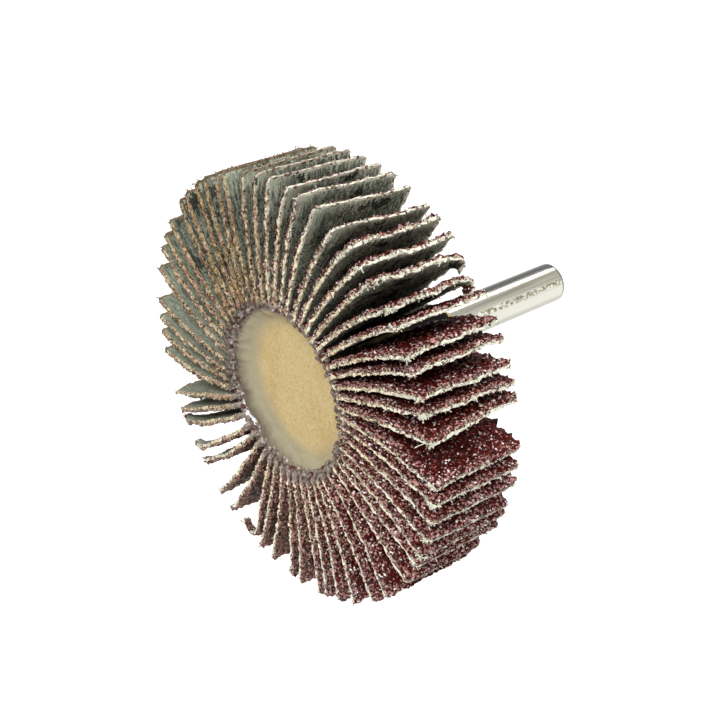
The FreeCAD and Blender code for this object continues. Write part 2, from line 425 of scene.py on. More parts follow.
class FlapSizes(bpy.types.PropertyGroup):
    grain_size: bpy.props.FloatProperty(
        name="Grain size", description="Across one lump of grain", default=0.46 * MM, unit="LENGTH",
        precision=5,
    )
    grain_height: bpy.props.FloatProperty(
        name="Grain height", description="How far the lumps stand out", default=0.3 * MM, unit="LENGTH",
        precision=5,
    )
    fray: bpy.props.FloatProperty(
        name="Fray", description="How far the cut edges stray", default=0.16 * MM, unit="LENGTH",
        precision=5,
    )
    waviness: bpy.props.FloatProperty(
        name="Waviness", description="How far the cloth waves at its tip", default=0.55 * MM, unit="LENGTH",
        precision=5,
    )
    thin_tip: bpy.props.FloatProperty(
        name="Thin tip", description="Share of the thickness that a worn tip has lost", default=0.45,
        subtype="FACTOR",
    )
    steps_along: bpy.props.IntProperty(
        name="Steps along", description="Points from root to tip", default=58,
    )
    steps_across: bpy.props.IntProperty(
        name="Steps across", description="Points over the width", default=42,
    )
    crystals: bpy.props.FloatProperty(
        name="Crystals", description="Loose crystals on a square millimetre of grain", default=0.42,
    )
    threads: bpy.props.FloatProperty(
        name="Threads", description="Frayed threads on a square millimetre of cut edge", default=11.0,
    )
    tufts: bpy.props.FloatProperty(
        name="Tufts", description="How many times as many threads grow at a tufted corner", default=9.0,
    )
    smooth_rim: bpy.props.FloatProperty(
        name="Smooth rim", description="Share of the threads and crystals that the other flaps have lost",
        default=0.6, subtype="FACTOR",
    )
    grain_colour: bpy.props.FloatVectorProperty(
        name="Grain", description="Colour of the grain",
        default=from_screen(180, 128, 117), subtype="COLOR",
    )
    cloth_colour: bpy.props.FloatVectorProperty(
        name="Cloth", description="Colour of the cloth backs",
        default=from_screen(125, 130, 115), subtype="COLOR",
    )
    edge_colour: bpy.props.FloatVectorProperty(
        name="Edge", description="Colour of the cut cloth",
        default=from_screen(250, 249, 230), subtype="COLOR",
    )


class CoreSizes(bpy.types.PropertyGroup):
    columns: bpy.props.IntProperty(name="Columns", description="Points round the resin", default=784)
    disc_depth: bpy.props.FloatProperty(
        name="Disc depth", description="From the flap edges down to the disc",
        default=1.62 * MM, unit="LENGTH", precision=5,
    )
    creep_depth: bpy.props.FloatProperty(
        name="Creep depth", description="From the flap edges down to the resin beside a root",
        default=0.42 * MM, unit="LENGTH", precision=5,
    )
    covered_grains: bpy.props.IntProperty(
        name="Covered grains", description="Grains that the resin has covered round the disc", default=520,
    )
    disc_colour: bpy.props.FloatVectorProperty(
        name="Disc", description="Colour of the thick resin",
        default=from_screen(205, 182, 131), subtype="COLOR",
    )
    ring_colour: bpy.props.FloatVectorProperty(
        name="Ring", description="Colour of the thin resin between the roots",
        default=from_screen(76, 65, 54), subtype="COLOR",
    )


class ShankSizes(bpy.types.PropertyGroup):
    segments: bpy.props.IntProperty(name="Segments", description="Faces round the shank", default=128)
    chamfer: bpy.props.FloatProperty(
        name="Chamfer", description="At the free end", default=0.8 * MM, unit="LENGTH", precision=5,
    )
    steel_colour: bpy.props.FloatVectorProperty(
        name="Steel", description="Colour of the steel",
        default=from_screen(214, 212, 200), subtype="COLOR",
    )


class StageSizes(bpy.types.PropertyGroup):
    floor_drop: bpy.props.FloatProperty(
        name="Floor drop", description="From the axis down to the floor", default=0.16, unit="LENGTH",
    )
    floor_width: bpy.props.FloatProperty(
        name="Floor width", description="Across the floor", default=6.0, unit="LENGTH",
    )
    sky_light: bpy.props.FloatProperty(
        name="Sky light", description="Strength of the soft light", default=0.42,
    )
    key_light: bpy.props.FloatProperty(
        name="Key light", description="Strength of the large lamp", default=2.6,
    )
    lens: bpy.props.FloatProperty(name="Lens", description="Focal length in millimetres", default=64.64)


class FlapWheelSettings(bpy.types.PropertyGroup):
    flaps: bpy.props.PointerProperty(name="Flaps", description="Sizes of the flaps", type=FlapSizes)
    core: bpy.props.PointerProperty(name="Core", description="Sizes of the resin", type=CoreSizes)
    shank: bpy.props.PointerProperty(name="Shank", description="Sizes of the shank", type=ShankSizes)
    stage: bpy.props.PointerProperty(name="Stage", description="Floor, lights and camera", type=StageSizes)


def axis_distance(board, place):
    """How far a place lies from the wheel's axis, in its own unit."""
    flat = place * (1.0, 0.0, 1.0)
    return board.add("ShaderNodeVectorMath", {"operation": "LENGTH"}, {0: flat}).out("Value")


def sector(board, place, side):
    """1 well inside a side of the wheel and 0 outside it; the sides are named above."""
    towards, start, full = side
    return board.smooth(wheel_side(board, place, towards), start, full)


def root_cover(board, place):
    """1 where resin has crept over the root of a flap, further out on the left of the wheel."""
    out = axis_distance(board, place) + 1.2 * (board.noise(place, 1.9, 3.0) - 0.5)
    near_face = board.smooth(place.y, FACE / MM + 1.6, FACE / MM + 0.8)
    return board.smooth(out - 1.1 * wheel_side(board, place, CREEP_ANGLE), 12.7, 11.8) * near_face


def root_resin(board, place, mix, dark, pale):
    """Colour of the resin that covers a root, paler low on the wheel."""
    resin = board.colour(mix, dark, pale)
    return board.colour(sector(board, place, UNDER_SIDE) * 0.7, resin, ROOT_LOW)


def grain_material(sizes):
    """Coarse red-brown grain, pale on its rims and dark red inside, with ochre dust on one side. Painted
    shade darkens its hollows and pockets, its white flecks are painted glints, and painted light makes it
    paler low on the left, on the right and on the lit side of the dust.
    """
    material, board = new_material("red-brown grain")
    place = object_place(board)
    share = flap_value(board, "share")
    crystal = board.cells(place, 2.2)
    lump = crystal.out("Color")
    fleck = board.cells(place + (3.1, 5.7, 9.2), 4.6).out("Color")
    dust = board.cells(place + (8.2, 1.1, 4.4), 2.3).out("Color")
    tone = board.noise(place, 4.0, 2.0)
    on_rim = board.math("MAXIMUM", board.smooth(share.y, 0.16, 0.02), board.smooth(share.x, 0.9, 0.99))
    worn = on_rim * board.smooth(board.noise(place, 0.5, 2.0), 0.2, 0.55)
    # Painted light from below on the lower left: paler grain tops and hollows, with fewer glints and dark
    # pockets.
    painted_underlight = sector(board, place, PAINTED_UNDERLIGHT_SIDE)

    rubbed = board.colour(sector(board, place, LOW_SIDE), tuple(sizes.grain_colour), RUBBED_LOW)
    rubbed = board.layers(rubbed, ((lump.y, 0.4, 0.52, 0.85, GRAIN_GREY),))
    # Painted light: the rubbed grain is paler on the right.
    rubbed = board.colour(sector(board, place, RIGHT_SIDE) * 0.6, rubbed, GRAIN_PAINTED_LIGHT)
    tops = board.colour(worn, board.colour(painted_underlight, GRAIN_RED, GRAIN_PAINTED_UNDERLIGHT), rubbed)
    # Painted shade in the hollows between the lumps and in dark pockets on random lumps; the white flecks
    # are painted glints.
    hollow = board.colour(painted_underlight, board.colour(worn, HOLLOW_DEEP, HOLLOW_WORN), HOLLOW_PAINTED_UNDERLIGHT)
    depth = crystal * board.blend(worn, 1.5, 1.0) + 0.5 * (tone - 0.5)
    pale = board.blend(worn, 0.9, 0.68)
    seam = board.smooth(share.z, 0.78, 0.55) * worn
    glue = board.layers(GLUE_DARK, ((fleck.x, 0.35, 0.6, 1, GLUE_PALE),))
    colour = board.layers(tops, (
        (depth, 0.24, 0.5, 1, hollow),
        (lump.x, 0.62, 0.72, 0.85 * (1 - 0.4 * painted_underlight), GRAIN_POCKET),
        (fleck.x, pale, pale + 0.08, 0.85, GRAIN_PINK),
        (fleck.y, 0.94, 0.96, 1 - 0.9 * painted_underlight, GRAIN_GLINT),
        (fleck.z, 0.85, 0.9, 0.85, GRAIN_BLACK),
        (lump.y, 0.2, 0.35, seam, glue),
    ))

    near_face = board.smooth(place.y, FACE / MM + 1.0, FACE / MM + 0.3)
    ochre_side = sector(board, place, OCHRE_SIDE)
    dusty = ochre_side * board.blend(near_face, 0.1, 0.8) * board.smooth(share.x, 1.0, 0.93)
    # The ochre dust is paler on the lit side: painted light.
    ochre = board.layers(DUST_BROWN, (
        (dust.x, 0.2, 0.8, 1, board.colour(sector(board, place, LIT_SIDE), DUST_OCHRE, DUST_PAINTED_LIGHT)),
        (dust.y, 0.74, 0.82, 0.7, DUST_RUST),
        (dust.z, 0.74, 0.8, 0.9, DUST_SOOT),
    ))
    colour = board.layers(colour, (
        (dust.z, 0.12, 0.2, dusty, ochre),
        (share.x, 0.965, 0.985, ochre_side * 0.9, GRAIN_TIP),
    ))
    covered = root_cover(board, place)
    colour = board.colour(covered * 0.85, colour, root_resin(board, place, fleck.x, *GRAIN_ROOTS))
    finish_material(board, {
        "Base Color": colour,
        "Roughness": board.blend(covered, board.blend(fleck.y, 0.25, 0.6), 0.2),
        "Coat Weight": covered * 0.4,
        "Specular IOR Level": 0.08,
        "Normal": bump(board, tone * 0.6 - crystal, 0.26 * MM, 1.0),
    })
    return material


def cloth_material(sizes):
    """The grey-green back of the cloth with streaks and a coarse nap. Painted light makes it paler on the
    lit side, near the open face on the upper right and towards its tip on top; painted shade lays dark
    blotches on it and deepens its dark streaks away from the lit side.
    """
    material, board = new_material("grey-green cloth")
    strip = flap_value(board, "strip")
    place = object_place(board)
    share = flap_value(board, "share")
    streak = board.noise(board.vector(strip.x * 0.35, strip.y * 2.6, place.x * 0.1), 1.0, 2.0)
    fine = board.noise(board.vector(strip.x * 1.2, strip.y * 5.0, place.z * 0.2), 1.0, 3.0)
    # Large blotches of painted shade, weaker on the lit side.
    shade_blotch = board.noise(place, 0.28, 2.0)
    nap = board.noise(place, 3.2, 2.0)
    cloth = tuple(sizes.cloth_colour)
    # Lighter copies of the cloth: sunlit and paler are painted light; the palest serves both for pale
    # threads and for painted light at the top tips and corners.
    pale_threads_and_light, paler, sunlit = [tuple(min(1.0, gain * part) for part in cloth) for gain in (3.2, 1.7, 1.55)]
    left = sector(board, place, LEFT_SIDE)
    lit = sector(board, place, LIT_SIDE)
    # Painted light near the open face on the upper right, at the front corner of the top tips and in a band
    # at the top tips.
    near_face = sector(board, place, UPPER_RIGHT_SIDE) * board.smooth(nap, 0.62, 0.42)
    corner = board.smooth(share.x, 0.7, 0.96) * sector(board, place, CORNER_SIDE)
    frost = share.x + 0.3 * (streak - 0.5) + 0.2 * (nap - 0.5)
    # Painted light: lit on the lit side and paler towards the tip on top. The dark streaks, fibres and nap
    # are weaker on the lit side, so they are partly painted shade.
    colour = board.layers(board.colour(lit, cloth, sunlit), (
        (share.x, 0.5, 0.95, sector(board, place, TOP_SIDE) * (1 - left), paler),
        (streak, 0.5, 0.57, 0.55 - 0.4 * lit, CLOTH_DARK),
        (fine, 0.47, 0.41, 0.35 * (1 - left), pale_threads_and_light),
        (fine, 0.49, 0.6, 0.6 - 0.35 * lit, CLOTH_DARK),
        (nap, 0.5, 0.64, 0.5 - 0.25 * lit, CLOTH_DARK),
        (nap, 0.43, 0.36, 0.6 * (1 - 0.7 * left), pale_threads_and_light),
        (shade_blotch, 0.58, 0.6, 0.8 - 0.65 * lit, CLOTH_PAINTED_SHADE),
        (share.y, 0.28, 0.0, near_face * 0.55, paler),
        (share.y, 0.3, 0.0, corner * board.smooth(streak, 0.62, 0.4) * 0.85, pale_threads_and_light),
        (frost, 0.95, 0.99, sector(board, place, FROST_SIDE) * 0.8, pale_threads_and_light),
    ))
    weave = board.add(
        "ShaderNodeTexWave", {"wave_type": "BANDS", "bands_direction": "Y"},
        {"Vector": strip, "Scale": 1.1, "Distortion": 2.5, "Detail": 2.0},
    )
    finish_material(board, {
        "Base Color": colour,
        "Roughness": board.blend(streak, 0.62, 0.88),
        "IOR": 1.0,
        "Normal": bump(board, streak + 0.4 * weave.out("Fac") - nap, 0.07 * MM, 0.9),
    })
    return material


def edge_material(sizes):
    """Cut cloth: cream threads at the tips, tan on the open face, ochre with dust on one side. Painted
    light makes the edges paler on the lower right and the ochre paler on the lit side.
    """
    material, board = new_material("cut cloth edge")
    place = object_place(board)
    radius = axis_distance(board, place)
    mottle = board.noise(place, 1.2, 3.0)
    threads = board.noise(flap_value(board, "strip") * (1.5, 1.5, 4.5), 1.0, 3.0)
    fuzz = board.noise(place, 4.5, 2.0)
    speck = board.cells(place, 2.8).out("Color")
    light = 0.5 * fuzz + 0.5 * threads
    # Painted light: the cut edges are paler on the lower right, and less soiled there.
    painted_edge_light = sector(board, place, PAINTED_EDGE_LIGHT_SIDE)
    ochre_side = sector(board, place, OCHRE_SIDE)
    ochre_share = ochre_side * board.smooth(radius, 31.0, 28.5)
    cream = board.layers(tuple(sizes.edge_colour), ((light, 0.5, 0.6, 0.75, EDGE_SHADE),))
    cream = board.colour(painted_edge_light * 0.8, cream, EDGE_PAINTED_LIGHT)
    tan = board.layers(TAN, ((light, 0.5, 0.6, 0.75, TAN_SHADE),))
    # The ochre edges are paler on the lit side: painted light.
    ochre = board.colour(sector(board, place, LIT_SIDE), OCHRE, OCHRE_LIT)
    ochre = board.layers(ochre, ((light, 0.46, 0.55, 1, OCHRE_SHADE),))
    reach = radius + 3 * (mottle - 0.5) - 7 * wheel_side(board, place, TAN_ANGLE)
    colour = board.layers(cream, (
        (reach, 27.0, 15.0, 1, tan),
        (radius, 31.0, 28.5, ochre_side, ochre),
        (mottle, 0.56, 0.66, 0.5 - 0.4 * painted_edge_light, EDGE_SOILED),
        (speck.x, 0.8, 0.86, 0.85, board.colour(ochre_share, EDGE_RED, EDGE_PINK)),
        (speck.z, 0.76, 0.82, ochre_share * 0.6, EDGE_RUST),
        (speck.z, 0.9, 0.94, 0.85, EDGE_SOOT),
        (speck.y, 0.88, 0.92, board.blend(ochre_share, 0.9, 0.35), EDGE_WHITE),
        (radius, 29.2, 29.7, ochre_side * 0.9, EDGE_TIP),
    ))
    covered = root_cover(board, place)
    colour = board.colour(covered * 0.85, colour, root_resin(board, place, speck.x, *EDGE_ROOTS))
    finish_material(board, {
        "Base Color": colour,
        "Roughness": board.blend(covered, board.blend(mottle, 0.7, 0.95), 0.2),
        "Coat Weight": covered * 0.4,
        "Specular IOR Level": 0.2,
        "Normal": bump(board, threads - fuzz, 0.16 * MM, 1.0),
    })
    return material


FLAP_INPUTS = {
    "NodeSocketVector": ("Seat", "Along", "Across"),
    "NodeSocketFloat": (
        "Root Length", "Bend Length", "Face Curve", "Rear Curve", "Face", "Rear", "Thickness",
        "Cloth Power", "Front Roll", "Front Roll Length", "Front Stretch", "Rear Roll",
        "Rear Roll Length", "Rear Stretch", "Sag", "Tip Loss", "Grain Size", "Grain Height", "Fray",
        "Waviness", "Crystals", "Threads", "Tufts",
    ),
    "NodeSocketInt": ("Steps Along", "Steps Across", "Seed"),
    "NodeSocketMaterial": ("Grain", "Cloth", "Edge"),
}


def grit(board, slab, given, layer):
    """Loose crystals on the grain, more of them on its rim."""
    rim = (layer > GRIT_FROM) * (layer < 0.99)
    points = board.add("GeometryNodeDistributePointsOnFaces", {"distribute_method": "RANDOM"}, {
        "Mesh": slab,
        "Selection": layer > GRIT_FROM,
        "Density": given["Crystals"] / MM ** 2 * (1 + 2 * rim),
        "Seed": given["Seed"],
    })
    crystal = board.add("GeometryNodeMeshIcoSphere", {}, {"Radius": 1.0, "Subdivisions": 1})
    crystal = board.store(crystal, "layer", 1.0)
    crystal = board.add("GeometryNodeSetShadeSmooth", {}, {"Geometry": crystal, "Shade Smooth": False})
    smallest, largest = CRYSTAL_RADII
    return board.add("GeometryNodeInstanceOnPoints", {}, {
        "Points": points,
        "Instance": crystal,
        "Rotation": board.random((0.0, 0.0, 0.0), (math.tau,) * 3, given["Seed"] + 1),
        "Scale": board.random((smallest,) * 3, (largest,) * 3, given["Seed"] + 2),
    })


def fringe(board, slab, given, layer, strip_share):
    """Short bent threads on the cut edges, thick on the tip and most of all at its front corner."""
    near_tip = board.smooth(strip_share.x, 0.93, 1.0)
    corner = near_tip * board.smooth(strip_share.y, 0.08, 0.0)
    points = board.add("GeometryNodeDistributePointsOnFaces", {"distribute_method": "RANDOM"}, {
        "Mesh": slab,
        "Selection": (layer > EDGE_FROM) * (layer < GRAIN_FROM),
        "Density": given["Threads"] / MM ** 2 * (0.5 + 0.7 * near_tip + given["Tufts"] * corner),
        "Seed": given["Seed"] + 3,
    })
    spine = board.add("GeometryNodeCurveQuadraticBezier", {}, {
        "Resolution": 2, "Start": (0.0, 0.0, -0.3), "Middle": (0.0, 0.0, 0.5), "End": (0.6, 0.0, 0.9),
    })
    ring = board.add("GeometryNodeCurvePrimitiveCircle", {}, {"Resolution": 3, "Radius": 0.17})
    thread = board.add("GeometryNodeCurveToMesh", {}, {
        "Curve": spine, "Profile Curve": ring, "Fill Caps": True,
    })
    tilt = (THREAD_TILT, THREAD_TILT, math.pi)
    turn = board.add("FunctionNodeRotateRotation", {"rotation_space": "LOCAL"}, {
        "Rotation": points.out("Rotation"),
        "Rotate By": board.random(tuple(-part for part in tilt), tilt, given["Seed"] + 4),
    })
    size = board.random(*THREAD_LENGTHS, given["Seed"] + 5) * (1 + 0.5 * corner)
    loose = (board.random(0.0, 1.0, given["Seed"] + 7) > LOOSE_ABOVE) * (given["Tufts"] > 0.5)
    return board.add("GeometryNodeInstanceOnPoints", {}, {
        "Points": points,
        "Instance": board.store(thread, "layer", EDGE_LAYER),
        "Rotation": turn,
        "Scale": board.vector(size, size, size * (1 + LOOSE_GROWTH * loose)),
    })


def rolled(board, given, corner, strip, rest):
    """How far a strip that rolls up at its end leaves its plane and how much shorter it gets.

    strip is 1 on the strip and 0 beside it, and rest is how far a point lies from its end.
    """
    turn = given[f"{corner} Roll"] * strip
    length = given[f"{corner} Roll Length"]
    done = board.math("MAXIMUM", 1 - rest / length, 0.0)
    turn = board.math("MAXIMUM", turn, 0.001)
    angle = turn * done
    radius = length * given[f"{corner} Stretch"] / turn
    away = radius * (1 - board.math("COSINE", angle))
    shorter = (length * done - radius * board.math("SINE", angle)) * strip
    return away, shorter


def flap_tree():
    """The rule of a flap: a slab bent from its seat, with grain on one side and frayed edges."""
    tree = bpy.data.node_groups.new("abrasive flap", "GeometryNodeTree")
    for kind, names in FLAP_INPUTS.items():
        for name in names:
            tree.interface.new_socket(name, in_out="INPUT", socket_type=kind)
    tree.interface.new_socket("Flap", in_out="OUTPUT", socket_type="NodeSocketGeometry")
    board = Board(tree)
    entry = board.add("NodeGroupInput")
    given = {name: entry.out(name) for names in FLAP_INPUTS.values() for name in names}
    slab = board.add("GeometryNodeMeshCube", {}, {
        "Size": (1.0, 1.0, 1.0),
        "Vertices X": given["Steps Along"],
        "Vertices Y": given["Steps Across"],
        "Vertices Z": LAYERS,
    })
    share = board.add("GeometryNodeInputPosition") + 0.5
    length = given["Root Length"] + given["Bend Length"]
    width = given["Rear"] - given["Face"]
    down = share.x * length
    over = share.y * width
    seeded = board.vector(given["Seed"] * 7.3, given["Seed"] * 3.1, share.z * 0.9)
    strip = board.vector(down / MM, over / MM, 0.0) + seeded
    slab = board.store(slab, "strip", strip, "POINT")
    slab = board.store(slab, "share", share, "POINT")
    slab = board.store(slab, "layer", share.z)

    grain_side = board.smooth(share.z, 0.4, 0.6)
    straight = board.math("MINIMUM", down - given["Root Length"], 0.0)
    bent = board.math("MAXIMUM", down - given["Root Length"], 0.0)
    bent_share = bent / given["Bend Length"]
    curve = board.blend(share.y, given["Face Curve"], given["Rear Curve"])
    turn = curve * bent
    forward = straight + bent * (1 - turn * turn / 6)
    sideways = bent * turn / 2 * (1 - turn * turn / 12)
    cosine = board.math("COSINE", turn)
    sine = board.math("SINE", turn)
    normal = given["Across"] * cosine - given["Along"] * sine
    tangent = given["Along"] * cosine + given["Across"] * sine

    lumps = board.cells(strip, MM / given["Grain Size"])
    lump = (0.5 - lumps) * 1.3 + (lumps.out("Color").x - 0.45) * 0.9
    edge_noise = board.noise(strip + (0.0, 0.0, 4.0), 1.7, 3.0) - 0.5
    wave = board.noise(board.vector(down / MM, over / MM, given["Seed"] * 5.0), 0.16, 1.0) - 0.5
    ripple = board.noise(strip, 0.7, 1.0) - 0.5

    front_strip = board.smooth(share.y, 0.14, 0.08)
    tip_strip = board.smooth(bent_share, 0.8, 0.88)
    rest = given["Bend Length"] * (1 - bent_share)
    away, shorter = rolled(board, given, "Front", front_strip, rest)
    rear_rest = width * (1 - share.y)
    rear_away, narrower = rolled(board, given, "Rear", tip_strip, rear_rest)
    front = board.smooth(share.y, 0.03, 0.0)
    back = board.smooth(share.y, 0.97, 1.0)
    tip = board.smooth(share.x, 0.975, 1.0)
    rim = board.math("MAXIMUM", board.math("MAXIMUM", front, back), tip)
    left = 1 - given["Tip Loss"] * board.smooth(bent_share, 0.55, 1.0)
    clear = 0.3 * (1 - grain_side) * tip * given["Fray"]
    calm = 1 - 1.6 * given["Tip Loss"] * board.smooth(bent_share, 0.7, 0.95)
    height = 0.06 + SLAB_SHARE * share.z ** given["Cloth Power"]
    rise = height * given["Thickness"] * left - away - rear_away
    rise = rise - given["Sag"] * share.y * bent_share * (1 - bent_share) * 4
    rise = rise + wave * given["Waviness"] * 2 * bent_share + ripple * (0.12 + 0.55 * rim) * MM
    rise = rise + grain_side * given["Grain Height"] * lump * calm
    rise = rise + rim * (1 - grain_side) * given["Fray"] * (edge_noise * 2.6 - 0.35) * calm

    stray = given["Fray"] * (edge_noise * 2.6 + grain_side * (lump * 1.2 - 0.35)) * calm
    root_place = given["Seat"] + given["Along"] * straight - DISC_MIDDLE
    sunk = board.smooth(axis_distance(board, root_place), 12.3 * MM, 11.4 * MM) * 1.75 * MM
    depth = given["Face"] + board.math("MAXIMUM", over, sunk)
    depth = depth + (back * (1 + grain_side) - front) * stray - narrower
    worn = tip * front * 0.5 * MM + tip * back * 0.35 * MM
    forward = forward + tip * stray + clear - worn - shorter
    jitter = board.random((-JITTER,) * 3, (JITTER,) * 3, given["Seed"] + 6)
    jitter = jitter * board.math("MAXIMUM", grain_side, rim) * calm
    place = given["Seat"] + given["Along"] * forward + given["Across"] * sideways + normal * rise
    place = place + board.vector(0.0, depth, 0.0) + jitter
    slab = board.add("GeometryNodeSetPosition", {}, {"Geometry": slab, "Position": place})

    layer = board.add("GeometryNodeInputNamedAttribute", {"data_type": "FLOAT"}, {"Name": "layer"})
    placed = board.add("GeometryNodeInputNamedAttribute", {"data_type": "FLOAT_VECTOR"}, {"Name": "share"})
    slab = board.add("GeometryNodeSetShadeSmooth", {}, {"Geometry": slab, "Shade Smooth": layer < 0.1})
    whole = board.add("GeometryNodeJoinGeometry", {}, {
        "Geometry": [slab, grit(board, slab, given, layer), fringe(board, slab, given, layer, placed)],
    })
    whole = board.add("GeometryNodeRealizeInstances", {}, {"Geometry": whole})
    for name, chosen in (("Cloth", True), ("Edge", layer > EDGE_FROM), ("Grain", layer > GRAIN_FROM)):
        whole = board.add("GeometryNodeSetMaterial", {}, {
            "Geometry": whole, "Selection": chosen, "Material": given[name],
        })
    board.add("NodeGroupOutput", {}, {"Flap": whole})
    return tree


def read_flap(node):
    """The seat, directions, lengths and bend of a flap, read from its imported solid."""
    points = np.array([vertex.co[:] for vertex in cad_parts[node].data.vertices])
    outline = points[points[:, 1] < points[:, 1].min() + SAME_PLACE][:, [0, 2]]
    radii = np.hypot(outline[:, 0], outline[:, 1])
    root = outline[radii.argmin()]
    steps = np.hypot(*(outline - root).T)
    steps[steps < SAME_PLACE] = np.inf
    across = outline[steps.argmin()] - root
    thickness = np.hypot(*across)
    across /= thickness
    along = np.array((across[1], -across[0]))
    inward = root @ along
    root_length = math.sqrt(inward ** 2 - root @ root + SEAT_RADIUS ** 2) - inward
    seat = root + along * root_length
    ends = outline[radii > radii.max() - TIP_BAND]
    tip = ends[(ends @ across).argmin()] - seat
    half_turn = math.atan2(tip @ across, tip @ along)
    bend_length = np.hypot(*tip) * (half_turn / math.sin(half_turn) if half_turn else 1)
    return {
        "Seat": (seat[0], 0.0, seat[1]),
        "Along": (along[0], 0.0, along[1]),
        "Across": (across[0], 0.0, across[1]),
        "Root Length": root_length,
        "Bend Length": bend_length,
        "Curve": 2 * half_turn / bend_length,
        "Thickness": thickness,
        "Face": points[:, 1].min(),
        "Rear": points[:, 1].max(),
    }


def new_piece(name, mesh):
    piece = bpy.data.objects.new(name, mesh)
    bpy.context.scene.collection.objects.link(piece)
    return piece


def plain_number(given):
    return tuple(float(part) for part in given) if isinstance(given, tuple) else float(given)


def grow_flap(tree, name, settings):
    """Evaluate the tree once with a flap's own values and keep the mesh."""
    piece = new_piece(name, bpy.data.meshes.new(name))
    modifier = piece.modifiers.new("abrasive flap", "NODES")
    modifier.node_group = tree
    for socket in tree.interface.items_tree:
        if socket.in_out == "INPUT":
            modifier[socket.identifier] = settings[socket.name]
    evaluated = piece.evaluated_get(bpy.context.evaluated_depsgraph_get())
    mesh = bpy.data.meshes.new_from_object(evaluated)
    mesh.name = name
    piece.modifiers.remove(modifier)
    piece.data = mesh
    return piece


class OBJECT_OT_abrasive_flaps(bpy.types.Operator):
    """Make each cloth flap with its grain, frayed edges and own twist"""
    bl_idname = "object.abrasive_flaps"
    bl_label = "Abrasive Flaps"

    def execute(self, context):
        sizes = context.scene.flap_wheel.flaps
        tree = flap_tree()
        shared = {
            "Grain Size": sizes.grain_size,
            "Grain Height": sizes.grain_height,
            "Fray": sizes.fray,
            "Waviness": sizes.waviness,
            "Steps Along": sizes.steps_along,
            "Steps Across": sizes.steps_across,
            "Crystals": sizes.crystals,
            "Threads": sizes.threads,
            "Grain": grain_material(sizes),
            "Cloth": cloth_material(sizes),
            "Edge": edge_material(sizes),
        }
        for number, (node, twist) in enumerate(zip(FLAPS, TIP_TWISTS)):
            flap = read_flap(node)
            curve = float(flap.pop("Curve"))
            half_step = TIP_RADIUS * math.radians(twist) / flap["Bend Length"] ** 2
            lean = 2 * TIP_RADIUS * math.radians(TIP_LEANS.get(node, 0.0)) / flap["Bend Length"] ** 2
            settings = {key: plain_number(given) for key, given in flap.items()} | shared
            settings["Face Curve"] = float(curve + lean + half_step)
            settings["Rear Curve"] = float(curve + lean - half_step)
            for corner, rolls in (("Front", FRONT_ROLLS), ("Rear", REAR_ROLLS)):
                turn, length, stretch = rolls.get(node, (0.0, 1.0, 1.0))
                settings[f"{corner} Roll"] = math.radians(turn)
                settings[f"{corner} Roll Length"] = length * MM
                settings[f"{corner} Stretch"] = stretch
            settings["Sag"] = REAR_SAGS.get(node, 0.0) * MM
            settings["Tip Loss"] = sizes.thin_tip if node in THIN_TIPS else 0.0
            settings["Tufts"] = sizes.tufts if node in TUFTED else 0.0
            seat_angle = math.atan2(flap["Seat"][2], flap["Seat"][0])
            crisp = smooth_step(-0.3, 0.25, math.cos(seat_angle - CRISP_SIDE))
            settings["Cloth Power"] = float(np.interp(crisp, (0, 1), CLOTH_POWERS))
            settings["Threads"] *= 1 - 0.5 * float(crisp)
            if node not in TUFTED:
                settings["Threads"] *= 1 - sizes.smooth_rim
                settings["Crystals"] *= 1 - sizes.smooth_rim
            settings["Seed"] = number * 10
            piece = grow_flap(tree, f"cloth_{node}", settings)
            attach(piece, "root")
            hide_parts(node)
        return {"FINISHED"}


